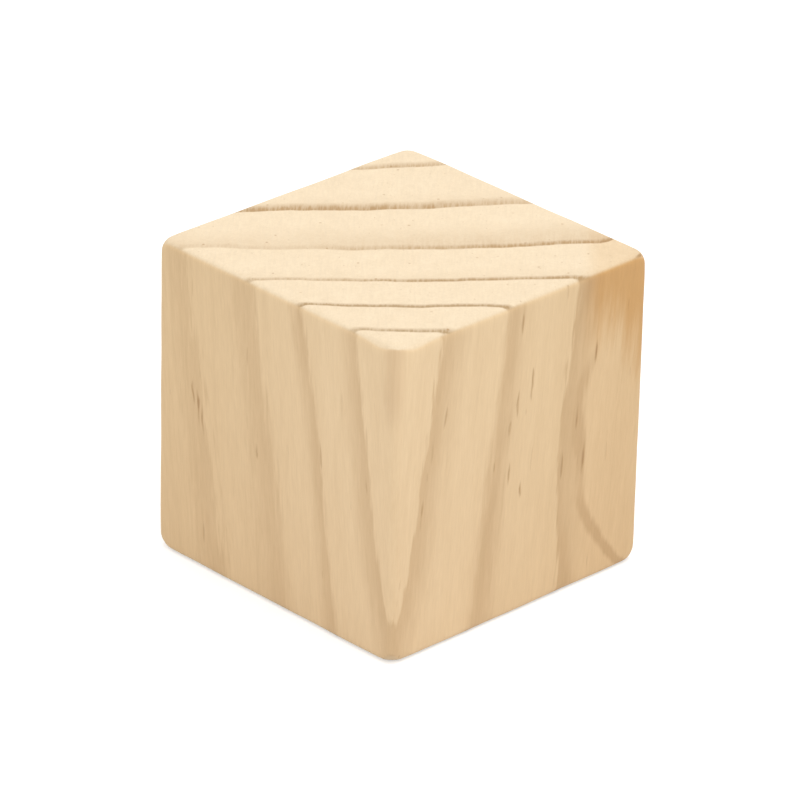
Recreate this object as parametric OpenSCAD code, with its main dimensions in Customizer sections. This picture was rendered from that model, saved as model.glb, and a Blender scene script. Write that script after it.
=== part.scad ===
// Plain wooden cube: one solid block of softwood, sawn square and sanded.
// All sizes are in millimetres. The cube stands on one end of its grain, with the
// origin at the middle of that end, +Z up along the grain, and edges along X and Y.

/* [Block] */
// Length of each edge, measured from face to opposite face
edge_length = 30; // [12:0.5:100]

/* [Sanding] */
// Radius that the edges and the corners are rounded to
edge_radius = 0.8; // [0.2:0.1:5]

/* [Hidden] */

// Facets to a full circle in the preview
$fn = 96;

// Colour of bare pine
pine = "#e3c89e";

// What the rounding leaves flat on each face, from side to side
flat_width = edge_length - 2 * edge_radius;

// From the cube's middle to the centre line of an edge's rounding, on each axis
edge_centre = flat_width / 2;

// The two faces square to Z, carried right through the block
module opposite_faces() {
    cube([flat_width, flat_width, edge_length], center = true);
}

// The four rounded edges that run along Z
module parallel_edges() {
    for (x = [-edge_centre, edge_centre], y = [-edge_centre, edge_centre])
        translate([x, y, 0])
            cylinder(h = flat_width, r = edge_radius, center = true);
}

// The eight corners, each a ball that blends the three edges that meet there
module rounded_corners() {
    for (x = [-edge_centre, edge_centre],
         y = [-edge_centre, edge_centre],
         z = [-edge_centre, edge_centre])
        translate([x, y, z])
            sphere(r = edge_radius);
}

// The whole block, about its own middle: faces and edges are the same along all three axes
module sanded_block() {
    union() {
        for (turn = [[0, 0, 0], [90, 0, 0], [0, 90, 0]])
            rotate(turn) {
                opposite_faces();
                parallel_edges();
            }
        rounded_corners();
    }
}

module wooden_cube() {
    color(pine)
        translate([0, 0, edge_length / 2])
            sanded_block();
}

wooden_cube();
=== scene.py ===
import math
import bpy
from mathutils import Matrix, Vector


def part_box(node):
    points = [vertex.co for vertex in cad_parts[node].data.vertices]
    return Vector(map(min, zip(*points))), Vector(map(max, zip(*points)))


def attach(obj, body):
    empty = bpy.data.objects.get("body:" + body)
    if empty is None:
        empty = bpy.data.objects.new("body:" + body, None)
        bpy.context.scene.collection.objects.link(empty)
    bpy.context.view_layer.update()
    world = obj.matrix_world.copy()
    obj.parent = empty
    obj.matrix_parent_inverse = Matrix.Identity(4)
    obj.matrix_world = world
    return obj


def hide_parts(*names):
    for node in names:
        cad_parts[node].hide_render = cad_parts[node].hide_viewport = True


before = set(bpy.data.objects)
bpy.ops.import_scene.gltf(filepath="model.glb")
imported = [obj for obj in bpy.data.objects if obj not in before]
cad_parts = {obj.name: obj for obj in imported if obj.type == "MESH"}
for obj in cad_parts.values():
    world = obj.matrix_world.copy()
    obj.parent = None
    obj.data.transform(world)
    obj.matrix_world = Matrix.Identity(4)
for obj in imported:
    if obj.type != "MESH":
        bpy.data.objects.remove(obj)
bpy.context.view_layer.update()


# ---------------------------------------------------------------- Wooden cube
# One block of plantation pine, sawn to length from a square strip, so the end
# grain is on the top and the bottom. Its faces are drum sanded, and then the
# edges and corners are eased by hand on a sanding belt. It has no finish on it.
low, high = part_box("wooden_cube")
edge_length = high.z - low.z
cube_middle = (low + high) / 2
edge_rounding = 0.00062
rounding_steps = 8

bpy.ops.object.select_all(action="DESELECT")
bpy.ops.mesh.primitive_cube_add(size=edge_length, location=cube_middle)
cube = bpy.context.object
cube.name = "pine_cube"
cube.data.name = "pine_cube"
bpy.ops.object.transform_apply(location=True, rotation=False, scale=False)

bpy.ops.object.mode_set(mode="EDIT")
bpy.ops.mesh.select_mode(type="EDGE")
bpy.ops.mesh.select_all(action="SELECT")
bpy.ops.mesh.bevel(offset=edge_rounding, segments=rounding_steps, affect="EDGES")
bpy.ops.object.mode_set(mode="OBJECT")


def select_nothing(mesh):
    """Leaves no face, edge or corner point of the mesh selected."""
    for part in (mesh.polygons, mesh.edges, mesh.vertices):
        part.foreach_set("select", [False] * len(part))


def cut_rows(mesh, axis, length, cuts):
    """Cuts across every edge that runs along one axis for about the given length."""
    select_nothing(mesh)
    for edge in mesh.edges:
        start, end = (mesh.vertices[i].co for i in edge.vertices)
        edge.select = abs(abs(end[axis] - start[axis]) - length) < 0.1 * length
    bpy.ops.object.mode_set(mode="EDIT")
    bpy.ops.mesh.subdivide_edgering(number_cuts=cuts, interpolation="LINEAR")
    bpy.ops.object.mode_set(mode="OBJECT")


# Rows of cells both ways over each face, close together next to the corners. Two cuts part the flat
# length in three, and are then moved out towards the corners before each part is cut into rows.
corner_length = 0.0045
cuts_by_corner = 15
cuts_between = 31
flat_length = edge_length - 2 * edge_rounding
length_by_corner = corner_length - edge_rounding
length_between = edge_length - 2 * corner_length
for axis in range(3):
    cut_rows(cube.data, axis, flat_length, 2)
    select_nothing(cube.data)
    for point in cube.data.vertices:
        point.select = abs(point.co[axis] - cube_middle[axis]) < flat_length / 4
    moved_out = [1.0, 1.0, 1.0]
    moved_out[axis] = length_between / (flat_length / 3)
    bpy.ops.object.mode_set(mode="EDIT")
    bpy.ops.transform.resize(value=moved_out, center_override=cube_middle)
    bpy.ops.object.mode_set(mode="OBJECT")
    cut_rows(cube.data, axis, length_by_corner, cuts_by_corner)
    cut_rows(cube.data, axis, length_between, cuts_between)

# Each corner is leaned on the belt and then softened, and the front top one is rolled over it in
# nine passes. Signs of X, Y and Z, how far a pass reaches along those three edges, and how far out
# it is softened.
corner_easing = [
    ((1, -1, 1), (0.00101, 0.00101, 0.0115), 0.0120),
    ((1, -1, 1), (0.00150, 0.00150, 0.0075), 0.0120),
    ((1, -1, 1), (0.00105, 0.00195, 0.0085), 0.0120),
    ((1, -1, 1), (0.00195, 0.00105, 0.0085), 0.0120),
    ((1, -1, 1), (0.00063, 0.00234, 0.0095), 0.0120),
    ((1, -1, 1), (0.00234, 0.00063, 0.0095), 0.0120),
    ((1, -1, 1), (0.0075, 0.00090, 0.00085), 0.0120),
    ((1, -1, 1), (0.00090, 0.0075, 0.00085), 0.0120),
    ((1, -1, 1), (0.00212, 0.00212, 0.00110), 0.0120),
    ((-1, -1, 1), (0.00116, 0.00122, 0.00116), 0.0022),
    ((1, 1, 1), (0.00122, 0.00114, 0.00116), 0.0022),
    ((-1, 1, 1), (0.00120, 0.00120, 0.00132), 0.0024),
    ((1, -1, -1), (0.00146, 0.00154, 0.00146), 0.0026),
    ((-1, -1, -1), (0.00140, 0.00144, 0.00130), 0.0026),
    ((1, 1, -1), (0.00138, 0.00126, 0.00138), 0.0026),
    ((-1, 1, -1), (0.00138, 0.00146, 0.00146), 0.0026),
]
corners = cube.vertex_groups.new(name="corners")
for signs, reaches, softened in corner_easing:
    corner = cube_middle + Vector(signs) * edge_length / 2
    on_flat = corner - Vector((signs[0] * reaches[0], 0, 0))
    way_out = Vector(sign / reach for sign, reach in zip(signs, reaches)).normalized()
    select_nothing(cube.data)
    for point in cube.data.vertices:
        point.select = (point.co - on_flat).dot(way_out) > 0
        nearness = 1 - ((point.co - corner).length / softened) ** 2
        if nearness > 0:
            corners.add([point.index], nearness, "REPLACE")
    bpy.ops.object.mode_set(mode="EDIT")
    bpy.ops.mesh.select_mode(type="VERT")
    bpy.ops.transform.resize(
        value=(1, 1, 0),
        orient_type="GLOBAL",
        orient_matrix=way_out.to_track_quat("Z", "Y").to_matrix(),
        orient_matrix_type="GLOBAL",
        center_override=on_flat,
    )
    bpy.ops.object.mode_set(mode="OBJECT")
softening = cube.modifiers.new("softening", "SMOOTH")
softening.vertex_group = corners.name
softening.factor = 0.5
softening.iterations = 16
bpy.ops.object.modifier_apply(modifier=softening.name)

# The belt wanders a little, so no edge is dead straight
wander = bpy.data.textures.new("belt_wander", "CLOUDS")
wander.noise_scale = 0.0055
wander.noise_depth = 1
belt = cube.modifiers.new("belt_wander", "DISPLACE")
belt.texture = wander
belt.texture_coords = "LOCAL"
belt.mid_level = 0.5
belt.strength = 0.00009
bpy.ops.object.modifier_apply(modifier=belt.name)
bpy.ops.object.shade_smooth()

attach(cube, "root")
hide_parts("wooden_cube")

pine = bpy.data.materials.new("bare pine")
pine.use_nodes = True
pine.node_tree.nodes.clear()
cube.data.materials.append(pine)


def fit(tree, kind, label, feeds=None, **settings):
    """Adds one labelled node and feeds its sockets with numbers, colours or other nodes' outputs."""
    node = tree.nodes.new("ShaderNode" + kind)
    node.label = label
    for name, value in settings.items():
        setattr(node, name, value)
    for socket, value in (feeds or {}).items():
        if isinstance(value, bpy.types.NodeSocket):
            tree.links.new(value, node.inputs[socket])
        else:
            node.inputs[socket].default_value = value
    return node


def work_out(tree, operation, label, *values):
    """Adds one Math node over numbers or other nodes' outputs, and gives its answer."""
    return fit(tree, "Math", label, dict(enumerate(values)), operation=operation).outputs[0]


def work_out_point(tree, operation, label, *points):
    """Adds one Vector Math node over points, and gives its answer, a point or a number."""
    node = fit(tree, "VectorMath", label, dict(enumerate(points)), operation=operation)
    return node.outputs["Value" if operation in ("DOT_PRODUCT", "LENGTH") else "Vector"]


def total(tree, label, *values):
    """Adds values up, two at a time, and gives the answer."""
    answer, *others = values
    for value in others:
        answer = work_out(tree, "ADD", label, answer, value)
    return answer


def product(tree, label, *values):
    """Multiplies values together, two at a time, and gives the answer."""
    answer, *others = values
    for value in others:
        answer = work_out(tree, "MULTIPLY", label, answer, value)
    return answer


def scaled(tree, label, value, factor, offset):
    """Multiplies a value by a factor and adds an offset, and gives the answer."""
    return work_out(tree, "MULTIPLY_ADD", label, value, factor, offset)


def gap(tree, label, value, place):
    """Gives how far a value lies from a place, on either side of it."""
    return work_out(tree, "ABSOLUTE", label, work_out(tree, "SUBTRACT", label, value, place))


def ease(tree, label, value, start, end, low_end=0.0, high_end=1.0):
    """Adds one soft step from low_end at start to high_end at end, and gives its answer."""
    feeds = {"Value": value, "From Min": start, "From Max": end, "To Min": low_end, "To Max": high_end}
    return fit(tree, "MapRange", label, feeds, interpolation_type="SMOOTHSTEP").outputs["Result"]


def blend_in(tree, label, share, under, over, mode="MIX"):
    """Adds one colour mix, and gives its colour."""
    feeds = {0: share, 6: under, 7: over}
    return fit(tree, "Mix", label, feeds, data_type="RGBA", blend_type=mode).outputs[2]


def turned(tree, label, point, *degrees):
    """Turns a point by so many degrees about X, then Y, then Z, and gives where it lands."""
    angles = [math.radians(angle) for angle in degrees]
    return fit(tree, "Mapping", label, {"Vector": point, "Rotation": angles}).outputs[0]


def start_group(name, numbers, answer):
    """Starts a node group that works out one answer from a point and some numbers."""
    group = bpy.data.node_groups.new(name, "ShaderNodeTree")
    group.interface.new_socket("Point", in_out="INPUT", socket_type="NodeSocketVector")
    for number in numbers:
        group.interface.new_socket(number, in_out="INPUT", socket_type="NodeSocketFloat")
    group.interface.new_socket(answer, in_out="OUTPUT", socket_type="NodeSocketFloat")
    return group, group.nodes.new("NodeGroupInput").outputs, group.nodes.new("NodeGroupOutput").inputs


# Fibres: streaks as long as Length along the grain and as wide as Width across it.
# Point is in millimetres, with Z along the grain. On end grain they show as dots.
fibres, fibre_in, fibre_out = start_group("wood fibres", ("Width", "Length", "Seed"), "Streak")
streak_size = fit(fibres, "CombineXYZ", "size of one streak",
                  {"X": fibre_in["Width"], "Y": fibre_in["Width"], "Z": fibre_in["Length"]}).outputs[0]
streak_point = work_out_point(fibres, "DIVIDE", "in streaks", fibre_in["Point"], streak_size)
streak_noise = fit(fibres, "TexNoise", "streaks",
                   {"Vector": streak_point, "W": fibre_in["Seed"], "Scale": 1.0, "Detail": 2.0,
                    "Roughness": 0.55}, noise_dimensions="4D")
fibres.links.new(streak_noise.outputs["Fac"], fibre_out["Streak"])

# Resin canals: fine tubes along the grain, one in each patch of Spacing, of which Share are open
canals, canal_in, canal_out = start_group("resin canals", ("Spacing", "Radius", "Share"), "Canal")
patch_point = work_out_point(canals, "DIVIDE", "in patches", canal_in["Point"], canal_in["Spacing"])
patch = fit(canals, "TexVoronoi", "one canal a patch", {"Vector": patch_point, "Scale": 1.0},
            voronoi_dimensions="2D", feature="F1")
off_centre = product(canals, "distance in millimetres", patch.outputs["Distance"], canal_in["Spacing"])
off_in_radii = work_out(canals, "DIVIDE", "distance in radii", off_centre, canal_in["Radius"])
tube = ease(canals, "inside the tube", off_in_radii, 1.25, 0.55)
chance = fit(canals, "SeparateColor", "chance of each patch", {0: patch.outputs["Color"]}).outputs[0]
is_open = work_out(canals, "LESS_THAN", "is it open", chance, canal_in["Share"])
canals.links.new(product(canals, "open canals", tube, is_open), canal_out["Canal"])

# The grain of this block. The point is measured in edge lengths from the block's middle, turned
# so that X runs from the pith towards the bark, and Y along the growth rings. The bark side, at the
# upright edge at +X and -Y, is called the front, and the edge at +X and +Y the right.
bark_turn = 45
edge_in_mm = 1000 * edge_length
tree = pine.node_tree
place = fit(tree, "TexCoord", "the block's own place")
centred = fit(tree, "Mapping", "turned to the bark",
              {"Vector": place.outputs["Object"],
               "Location": (0, 0, -cube_middle.z / edge_length),
               "Rotation": (0, 0, math.radians(bark_turn)),
               "Scale": (1 / edge_length, 1 / edge_length, 1 / edge_length)}).outputs[0]
in_block = fit(tree, "SeparateXYZ", "bark, ring and grain ways", {0: centred})
bark_way, ring_way, grain_way = in_block.outputs

# The grain runs about 6 degrees off the block's edges, towards the bark on its way down
grain_lean = 6.3
leaned = turned(tree, "leaned along the grain", centred, 0, grain_lean, 0)
grain_point = work_out_point(tree, "MULTIPLY", "grain point in millimetres", leaned, (edge_in_mm,) * 3)


def streaks(label, width, length, seed, point=grain_point):
    """Places the fibres in the wood at one size, and gives how strong they are from 0 to 1."""
    feeds = {"Point": point, "Width": width, "Length": length, "Seed": seed}
    return fit(tree, "Group", label, feeds, node_tree=fibres).outputs["Streak"]


# Bands of fibre, from broad to hair fine, and rays: hair lines across the rings where the grain ends.
# The finest fibres are turned a little about the grain, so that they don't line up with the rays.
fine_point = turned(tree, "turned about the grain", grain_point, 0, 0, 27)
outward_point = turned(tree, "along the rays", grain_point, 0, 90, 0)
broad = streaks("broad bands", 3.0, 60.0, 6.2)
middling = streaks("middling bands", 0.9, 26.0, 2.8)
fine = streaks("fine fibres", 0.28, 9.0, 7.7, fine_point)
hair_fine = streaks("hair fine fibres", 0.11, 4.0, 4.9, fine_point)
rays = streaks("rays", 0.20, 5.0, 9.3, outward_point)

# How much of the surface is end grain, from the way that it faces
face_way = fit(tree, "SeparateXYZ", "which way the face looks", {0: place.outputs["Normal"]}).outputs["Z"]
end_share = ease(tree, "end grain", work_out(tree, "ABSOLUTE", "up or down", face_way), 0.32, 0.84)
side_share = work_out(tree, "SUBTRACT", "side grain", 1.0, end_share)

# How far out from the pith, with the bow of the rings and the taper of the trunk
bow = work_out_point(tree, "MULTIPLY_ADD", "bow of the rings",
                     ring_way, (-0.179, 0.052, 0.0), (1.0, 0.157, 0.110))
taper = work_out_point(tree, "MULTIPLY_ADD", "taper of the trunk", grain_way, (-0.009, -0.087, 0.017), bow)
outward = work_out_point(tree, "DOT_PRODUCT", "out from the pith", centred, taper)

# A branch just outside the block, at the right, turns the rings back outward beside it
branch_height = -0.03
turn_at_branch = 0.499
turn_curve = 0.37
branch_slope = 1.5
above_branch = work_out(tree, "SUBTRACT", "height above the branch", grain_way, branch_height)
height_squared = product(tree, "height squared", above_branch, above_branch)
turn = scaled(tree, "where the rings turn", height_squared, turn_curve, turn_at_branch)
past_turn = work_out(tree, "SUBTRACT", "past the turn", ring_way, turn)
bulge = work_out(tree, "SMOOTH_MAX", "only past the turn", past_turn, 0.0, 0.05)
swell = product(tree, "swell before the turn",
                ease(tree, "low down", grain_way, 0.10, -0.44, 0.0, 0.030),
                ease(tree, "near the turn", ring_way, 0.30, 0.46))
branch_push = scaled(tree, "push of the branch", bulge, branch_slope, swell)

# The ring edges waver slowly, and on the sides they break into steps where the fibres run out
slow = scaled(tree, "slow waver", streaks("slow waver", 6.0, 30.0, 3.1), 0.040, -0.020)
crisp = product(tree, "fine waver", total(tree, "both ways", streaks("fine waver", 0.7, 9.0, 8.4), -0.5),
                scaled(tree, "less on the ends", end_share, -0.011, 0.016))
foot_pull = product(tree, "the outermost ring runs out at the foot",
                    ease(tree, "towards the foot", grain_way, -0.08, -0.56, 0.0, -0.039),
                    ease(tree, "outermost ring", bark_way, 0.54, 0.64))
unbroken_place = total(tree, "before the steps", outward, branch_push, foot_pull, slow, crisp)
loose_grain = product(tree, "looser towards the back left",
                      ease(tree, "towards the back", bark_way, 0.50, 0.15),
                      ease(tree, "towards the left", ring_way, 0.10, -0.25))
step_reach = scaled(tree, "how far the steps reach", loose_grain, 0.115, 0.035)
steps = product(tree, "steps on the sides",
                total(tree, "both ways", streaks("run-out steps", 0.42, 5.5, 5.7), -0.5),
                step_reach, side_share)
ring_place = total(tree, "place across the rings", unbroken_place, steps)


def late_wood(label, early_dark, right_end, years):
    """Darkens the late wood of each year, and gives how dark it is, about 1 at the darkest.

    The early wood is as dark as early_dark. Each row is a year on the right of the block, down to
    right_end, and the same year on the left: where it ends on the bark side, how far it takes to
    end, how far in it starts and how dark it gets.
    """
    leftward = ease(tree, "towards the left of the block", ring_way, right_end, -0.35)
    dark = early_dark
    for right, left in years:
        ring_edge, fall, starts, depth = (
            scaled(tree, "from right to left", leftward, there - here, here)
            for here, there in zip(right, left))
        start = work_out(tree, "SUBTRACT", "where it starts", ring_edge, starts)
        end = total(tree, "where it has ended", ring_edge, fall)
        darkening = ease(tree, "late wood", ring_place, start, ring_edge, 0.0, depth)
        ended = ease(tree, "the year ends", ring_place, ring_edge, end, 1.0, 0.0)
        dark = work_out(tree, "MAXIMUM", label, dark, product(tree, "one year", darkening, ended))
    return dark


# On the sides the late wood shows as soft bands, and on the ends as thin dark lines
side_late = late_wood("late wood on the sides", 0.03, 0.05, [
    ((-0.810, 0.010, 0.092, 0.78), (-0.810, 0.010, 0.092, 0.78)),
    ((-0.490, 0.010, 0.075, 0.75), (-0.490, 0.010, 0.075, 1.00)),
    ((-0.188, 0.010, 0.075, 0.75), (-0.188, 0.010, 0.075, 1.00)),
    ((0.084, 0.030, 0.133, 0.58), (0.084, 0.030, 0.133, 0.64)),
    ((0.304, 0.010, 0.062, 1.00), (0.304, 0.045, 0.125, 0.72)),
    ((0.455, 0.036, 0.060, 0.90), (0.479, 0.010, 0.055, 0.93)),
    ((0.636, 0.009, 0.088, 0.85), (0.637, 0.012, 0.047, 0.80)),
])
end_late = late_wood("late wood on the ends", 0.0, 0.35, [
    ((-0.490, 0.008, 0.045, 0.62), (-0.490, 0.008, 0.045, 0.70)),
    ((-0.188, 0.008, 0.120, 0.14), (-0.198, 0.008, 0.120, 0.20)),
    ((-0.188, 0.008, 0.070, 0.52), (-0.198, 0.008, 0.070, 1.25)),
    ((0.092, 0.008, 0.180, 0.30), (0.075, 0.012, 0.180, 0.26)),
    ((0.092, 0.008, 0.040, 0.82), (0.075, 0.012, 0.060, 0.44)),
    ((0.304, 0.008, 0.090, 0.10), (0.304, 0.008, 0.090, 0.10)),
    ((0.304, 0.008, 0.026, 0.90), (0.304, 0.008, 0.028, 0.80)),
    ((0.471, 0.007, 0.022, 1.00), (0.471, 0.007, 0.022, 1.25)),
    ((0.628, 0.008, 0.026, 0.80), (0.628, 0.008, 0.026, 0.80)),
])
stretches = scaled(tree, "some stretches are paler", streaks("paler stretches", 4.5, 22.0, 1.3), 1.1, 0.40)
patchy = product(tree, "paler to the left", stretches,
                 ease(tree, "towards the right", ring_way, -0.50, 0.25, 0.80, 1.10))

# Past the turn the late wood thins out to one hard line, fainter halfway down
off_middle = work_out(tree, "ABSOLUTE", "above or below the middle", grain_way)
near_turn = product(tree, "near the turn", ease(tree, "up to the turn", past_turn, -0.07, 0.02),
                    ease(tree, "most above and below", off_middle, 0.04, 0.26, 0.70, 1.0))
before_turn = product(tree, "late wood before the turn",
                      ease(tree, "not past the turn", past_turn, 0.036, 0.004),
                      scaled(tree, "less near the turn", near_turn, -0.60, 1.0))
line_place = ease(tree, "where the line runs", gap(tree, "off the branch", grain_way, -0.07),
                  0.0, 0.18, 0.309, 0.296)
stepped_less = scaled(tree, "with smaller steps", steps, 0.4, unbroken_place)
off_line = gap(tree, "off the line", stepped_less, line_place)
line_depth = product(tree, "how deep the line is",
                     ease(tree, "not at the top", grain_way, 0.30, 0.14),
                     ease(tree, "fainter halfway down", gap(tree, "off halfway", grain_way, -0.17),
                          0.0, 0.12, 0.65, 1.10),
                     ease(tree, "broken up by the fibres", fine, 0.30, 0.70, 0.75, 1.25))
hard_line = product(tree, "hard line", ease(tree, "on the line", off_line, 0.018, 0.003),
                    ease(tree, "past the turn", past_turn, -0.02, 0.01), line_depth)
side_dark = work_out(tree, "MAXIMUM", "late wood and the line", hard_line,
                     product(tree, "late wood on the sides", side_late, patchy, before_turn))
end_dark = product(tree, "late wood between the rays", end_late, patchy,
                   ease(tree, "between the rays", rays, 0.32, 0.68, 0.72, 1.28))
late = fit(tree, "Mix", "late wood all round",
           {"Factor": end_share, "A": side_dark, "B": end_dark}).outputs["Result"]

# Colours of bare pine: paler where the grain ends, partly as painted light on the top. On the sides, paler
# and yellower towards the bark at the front edge, and darker and warmer away from it, is painted shade
early_side = (0.868, 0.642, 0.384, 1)
late_side = (0.690, 0.476, 0.260, 1)
# Early wood where the grain ends: its own colour, made paler than on the sides with painted light on the
# top
early_end_with_painted_light = (0.836, 0.677, 0.471, 1)
late_end = (0.442, 0.300, 0.156, 1)
old_late_end = (0.455, 0.281, 0.124, 1)
no_tint = (1.0, 1.0, 1.0, 1)
# Painted light at the front edge of the sides, and painted shade, darker and warmer, away from it
painted_light_tint_at_front_edge = (1.02, 1.025, 1.04, 1)
painted_shade_tint_away_from_front = (0.925, 0.898, 0.845, 1)
# Painted shade: darker and warmer towards the foot
painted_foot_shade_tint = (0.965, 0.945, 0.930, 1)
early = blend_in(tree, "early wood", end_share, early_side, early_end_with_painted_light)
inner = ease(tree, "towards the pith", bark_way, 0.72, -0.15)
old_end = blend_in(tree, "older rings are browner", inner, late_end, old_late_end)
late_tone = blend_in(tree, "late wood", end_share, late_side, old_end)
rings_tone = blend_in(tree, "growth rings", late, early, late_tone)
# Painted shade on the sides: paler at the front edge, darker and warmer away from it
painted_side_shade_tone = blend_in(tree, "painted shade away from the front edge", inner, painted_light_tint_at_front_edge, painted_shade_tint_away_from_front)
painted_shade_on_sides_only = blend_in(tree, "mostly on the sides", end_share, painted_side_shade_tone, no_tint)
rings_with_painted_side_shade = blend_in(tree, "painted side shade over the rings", 1.0, rings_tone, painted_shade_on_sides_only, "MULTIPLY")
# Painted shade: the whole block is painted darker from its top down to its foot
foot = ease(tree, "darker towards the foot", grain_way, 0.50, -0.50)
painted_foot_shaded = blend_in(tree, "painted shade towards the foot", foot, rings_with_painted_side_shade, painted_foot_shade_tint, "MULTIPLY")

# Painted shade: a darker streak runs down from the front top corner, below its eased facet
painted_shade_tint_below_corner = (0.880, 0.850, 0.830, 1)
off_edge = gap(tree, "off the front edge", ring_way, -0.010)
streak = product(tree, "dark streak", side_share,
                 ease(tree, "along the edge", off_edge, 0.045, 0.005),
                 ease(tree, "at the top", grain_way, 0.20, 0.36),
                 ease(tree, "at the front", bark_way, 0.50, 0.60))
shaded_below_corner = blend_in(tree, "painted shade below the corner", streak, painted_foot_shaded, painted_shade_tint_below_corner, "MULTIPLY")

# Each band of fibre is a little paler or darker than the next
fibre_tone = product(tree, "fibre tone",
                     scaled(tree, "broad tone", broad, 0.09, 0.955),
                     scaled(tree, "middling tone", middling, 0.09, 0.955),
                     scaled(tree, "fine tone", fine, 0.14, 0.93),
                     scaled(tree, "hair fine tone", hair_fine, 0.16, 0.92))
fibre_warmth = fit(tree, "CombineColor", "darker fibres are browner",
                   {0: work_out(tree, "POWER", "red", fibre_tone, 0.8), 1: fibre_tone,
                    2: work_out(tree, "POWER", "blue", fibre_tone, 1.3)}).outputs[0]
fibred = blend_in(tree, "fibres over the rings", 1.0, shaded_below_corner, fibre_warmth, "MULTIPLY")
ray_tone = scaled(tree, "ray tone", rays, 0.14, 0.93)
rayed = blend_in(tree, "rays over the end grain", end_share, fibred, ray_tone, "MULTIPLY")

# Resin canals: dots on the end grain and thin brown lines on the sides, mostly in the late wood
resin_tone = (0.46, 0.27, 0.12, 1)
canal_sway = (1.6, 1.6, 0.0)
sway_noise = fit(tree, "TexNoise", "sway", {"Vector": grain_point, "Scale": 0.11, "Detail": 1.0})
canal_point = work_out_point(tree, "MULTIPLY_ADD", "canals sway with the fibres",
                             sway_noise.outputs["Color"], canal_sway, grain_point)


def resin(label, spacing, radius, share):
    """Places resin canals of one size in the wood, and gives where they are from 0 to 1."""
    feeds = {"Point": canal_point, "Spacing": spacing, "Radius": radius, "Share": share}
    return fit(tree, "Group", label, feeds, node_tree=canals).outputs["Canal"]


wide_canal = resin("wide canals", 2.9, 0.12, 0.55)
thin_canal = product(tree, "fainter", resin("thin canals", 1.6, 0.07, 0.45), 0.75)
filled = ease(tree, "filled in stretches", streaks("stretches", 1.6, 4.5, 13.1), 0.44, 0.56)
either_canal = work_out(tree, "MAXIMUM", "either size", wide_canal, thin_canal)
canal = product(tree, "all canals", filled, either_canal)
canal_depth = scaled(tree, "stronger in late wood", late, 0.50,
                     scaled(tree, "and on the ends", end_share, 0.22, 0.22))
canalled = blend_in(tree, "canals over the wood", product(tree, "canal strength", canal, canal_depth),
                    rayed, resin_tone)

# Flecks: short dark dashes where a side is sanded through a canal full of resin. Each one's place
# in edge lengths from the block's middle, then its length and width in millimetres and its depth.
open_canals = [
    (-0.346, -0.500, 0.060, 3.2, 0.28, 0.75),
    (-0.325, -0.500, 0.028, 3.6, 0.34, 0.90),
    (-0.306, -0.500, -0.014, 2.8, 0.28, 0.70),
    (-0.072, -0.500, -0.040, 2.6, 0.32, 0.65),
    (0.194, -0.500, 0.056, 3.6, 0.28, 0.55),
    (0.386, -0.500, 0.040, 2.9, 0.24, 0.40),
    (0.500, -0.390, -0.045, 3.0, 0.30, 0.60),
    (0.500, -0.356, 0.135, 2.4, 0.26, 0.40),
    (0.500, -0.008, 0.438, 2.6, 0.28, 0.65),
    (0.500, 0.039, 0.236, 4.2, 0.28, 0.75),
    (0.500, -0.016, 0.182, 3.0, 0.30, 0.75),
    (0.500, -0.047, 0.105, 2.2, 0.32, 0.70),
    (0.500, -0.047, -0.034, 2.2, 0.30, 0.65),
    (0.500, 0.001, -0.104, 2.8, 0.30, 0.80),
    (0.500, 0.298, 0.250, 3.4, 0.30, 0.80),
    (0.500, 0.226, 0.060, 2.6, 0.30, 0.80),
    (0.500, 0.258, -0.086, 2.8, 0.30, 0.80),
]
into_grain = (Matrix.Rotation(math.radians(grain_lean), 3, "Y")
              @ Matrix.Rotation(math.radians(bark_turn), 3, "Z"))
fray_reach = Vector((0.5, 0.5, 0.0))
fray_noise = fit(tree, "TexNoise", "fray", {"Vector": grain_point, "Scale": 0.45, "Detail": 1.0})
frayed_point = work_out_point(tree, "MULTIPLY_ADD", "flecks are a little crooked",
                              fray_noise.outputs["Color"], fray_reach, grain_point)
flecks = 0.0
for x, y, z, length, width, depth in open_canals:
    middle = into_grain @ Vector((x, y, z)) * edge_in_mm + fray_reach / 2
    apart = work_out_point(tree, "SUBTRACT", "from the fleck's middle", frayed_point, middle)
    in_halves = work_out_point(tree, "MULTIPLY", "in half sizes of the fleck",
                               apart, (2 / width, 2 / width, 2 / length))
    reach = work_out_point(tree, "LENGTH", "half sizes away", in_halves)
    flecks = work_out(tree, "MAXIMUM", "flecks so far", flecks,
                      ease(tree, "one fleck", reach, 1.35, 0.35, 0.0, depth))
fleck = product(tree, "broken up by the fibres", flecks,
                ease(tree, "between the fibres", hair_fine, 0.36, 0.58, 0.50, 1.10))
flecked = blend_in(tree, "resin flecks", fleck, canalled, resin_tone)

# Beside the branch the wood is a little warmer, and resin has soaked into the upper corner there.
# The stain is deepest at the top, and it runs down furthest along the block's edge, where the run is
# partly painted shade, as in a narrow gap beside the edge.
branch_tint = (0.975, 0.950, 0.925, 1)
stain_and_edge_shade_tint = (0.835, 0.680, 0.475, 1)
warm_share = product(tree, "beside the branch", side_share,
                     ease(tree, "at the right edge", ring_way, 0.46, 0.58))
warmed = blend_in(tree, "warmer by the branch", warm_share, flecked, branch_tint, "MULTIPLY")
# Partly painted shade: along the edge the stain runs further down, as shade in a narrow gap would
stain_and_edge_shade_height = scaled(tree, "ragged in the middling bands", middling, -0.26,
                      scaled(tree, "ragged in the fine fibres", fine, -0.12,
                             total(tree, "reaching further down as painted edge shade", grain_way,
                                   ease(tree, "along the edge", ring_way, 0.615, 0.68, 0.0, 0.12))))
stain_and_edge_shade = product(tree, "stain_and_edge_shade", ease(tree, "from the top down", stain_and_edge_shade_height, -0.01, 0.26),
                ease(tree, "round the corner", ring_way, 0.505, 0.575),
                scaled(tree, "fainter where the grain ends", end_share, -0.64, 1.0))
stained_and_edge_shaded = blend_in(tree, "resin stain", stain_and_edge_shade, warmed, stain_and_edge_shade_tint, "MULTIPLY")

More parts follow.
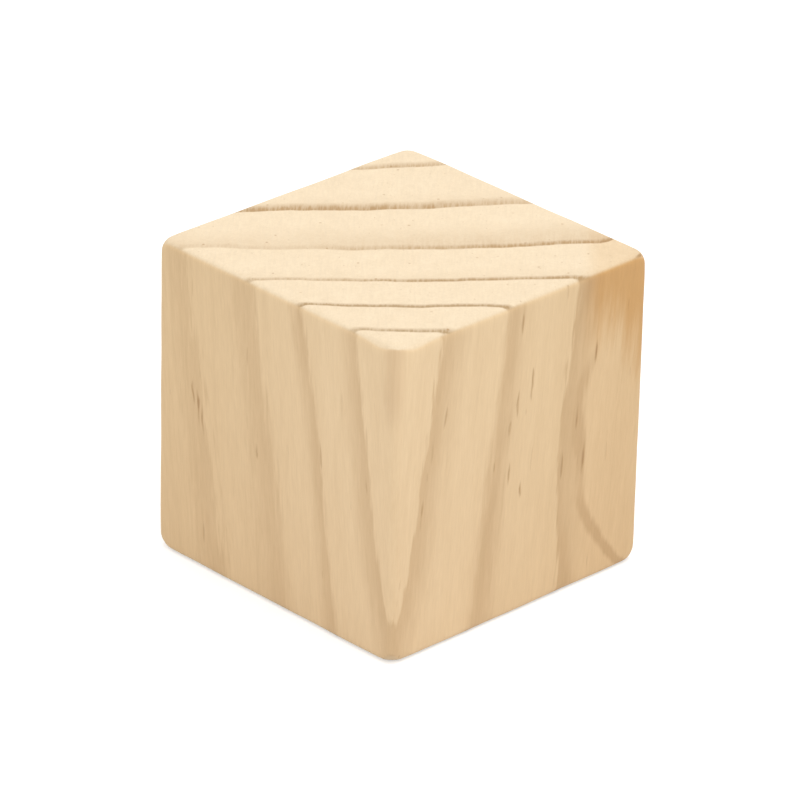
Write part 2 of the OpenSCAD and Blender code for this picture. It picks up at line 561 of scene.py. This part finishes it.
# Relief: fibres and canals are fine grooves, the late wood is left proud, and the sanding leaves
# scratches on the ends, along two of the block's edges
groove_depth = 0.00003
scratch_point = turned(tree, "way of the sanding on the ends", grain_point, 90, -bark_turn, 0)
scratches = streaks("sanding scratches", 0.10, 7.0, 11.9, scratch_point)
proud = scaled(tree, "prouder on the sides", side_share, 0.10, 0.02)
raised = total(tree, "raised",
               product(tree, "late wood stands proud", late, proud),
               product(tree, "hair fine fibres stand up", hair_fine, 0.55),
               product(tree, "fine fibres stand up", fine, 0.35),
               product(tree, "scratched ends", scratches, end_share, 0.45))
sunk = total(tree, "sunk", product(tree, "canals are grooves", canal, 0.9),
             product(tree, "flecks are grooves", fleck, 0.6))
relief = work_out(tree, "SUBTRACT", "relief", raised, sunk)
grain_relief = fit(tree, "Bump", "grain relief",
                   {"Strength": 1.0, "Distance": groove_depth, "Height": relief}).outputs[0]

# Bare sanded wood is matt, with a faint sheen on the harder late wood
matt = scaled(tree, "glossier late wood", late, -0.08, scaled(tree, "how matt it is", fine, 0.10, 0.55))
bare_wood = fit(tree, "BsdfPrincipled", "bare wood",
                {"Base Color": stained_and_edge_shaded, "Roughness": matt, "Specular IOR Level": 0.35,
                 "Normal": grain_relief}).outputs[0]
fit(tree, "OutputMaterial", "surface", {"Surface": bare_wood})


# ---------------------------------------------------------------- Table top
# A plain white matt sheet that the block stands on. It stays white to the camera
# and keeps the soft shadow at the block's foot.
sheet_width = 3.0
sheet_glow = 0.45
foot_height = min(point.co.z for point in cube.data.vertices)
bpy.ops.object.select_all(action="DESELECT")
bpy.ops.mesh.primitive_plane_add(size=sheet_width, location=(0, 0, foot_height))
table_top = bpy.context.object
table_top.name = "table_top"


def seen_share(tree):
    """Gives 1 where a thing is seen, in a shine and through glass too, and 0 where it only lights."""
    path = fit(tree, "LightPath", "how it is seen").outputs
    return total(tree, "seen, or seen in a shine or through glass",
                 path["Is Camera Ray"], path["Is Glossy Ray"], path["Is Transmission Ray"])


sheet = bpy.data.materials.new("white sheet")
sheet.use_nodes = True
paint = sheet.node_tree.nodes["Principled BSDF"]
paint.inputs["Base Color"].default_value = (0.75, 0.75, 0.75, 1)
paint.inputs["Roughness"].default_value = 0.9
paint.inputs["Specular IOR Level"].default_value = 0.1
paint.inputs["Emission Color"].default_value = (1, 1, 1, 1)
glow = product(sheet.node_tree, "white where it is seen", seen_share(sheet.node_tree), sheet_glow)
sheet.node_tree.links.new(glow, paint.inputs["Emission Strength"])
table_top.data.materials.append(sheet)


# ---------------------------------------------------------------- Studio light
# An even white studio, which shows pure white where it is seen and lights a little less, with
# one wide soft lamp above, a little to the front right.
air_light = 0.86
air_white = 1.0
studio = bpy.data.worlds.new("studio")
studio.use_nodes = True
bpy.context.scene.world = studio
air = studio.node_tree.nodes["Background"]
air.inputs["Color"].default_value = (1, 1, 1, 1)
level = fit(studio.node_tree, "MapRange", "white where it is seen",
            {"Value": seen_share(studio.node_tree), "To Min": air_light, "To Max": air_white})
studio.node_tree.links.new(level.outputs["Result"], air.inputs["Strength"])

lamp_light = bpy.data.lights.new("soft_lamp", "AREA")
lamp_light.shape = "DISK"
lamp_light.size = 0.55
lamp_light.energy = 2.05
lamp = bpy.data.objects.new("soft_lamp", lamp_light)
bpy.context.scene.collection.objects.link(lamp)
lamp.location = (0.150, 0.030, 0.765)
lamp.rotation_euler = (cube_middle - lamp.location).to_track_quat("-Z", "Y").to_euler()


# ---------------------------------------------------------------- Camera
# A long lens, 46 degrees round from -Y towards +X and 26 degrees up, held a degree off level.
camera_distance = 0.516
camera_azimuth = math.radians(45.7)
camera_elevation = math.radians(26.4)
camera_roll = math.radians(1.3)
away = Vector((
    math.sin(camera_azimuth) * math.cos(camera_elevation),
    -math.cos(camera_azimuth) * math.cos(camera_elevation),
    math.sin(camera_elevation),
))
camera_data = bpy.data.cameras.new("camera")
camera_data.lens = 265
camera_data.clip_start = 0.01
camera_data.clip_end = 20
camera = bpy.data.objects.new("camera", camera_data)
bpy.context.scene.collection.objects.link(camera)
camera.location = cube_middle + away * camera_distance
camera.rotation_euler = away.to_track_quat("Z", "Y").to_euler()
camera.rotation_euler.rotate_axis("Z", camera_roll)
bpy.context.scene.camera = camera
bpy.context.scene.view_settings.view_transform = "Standard"
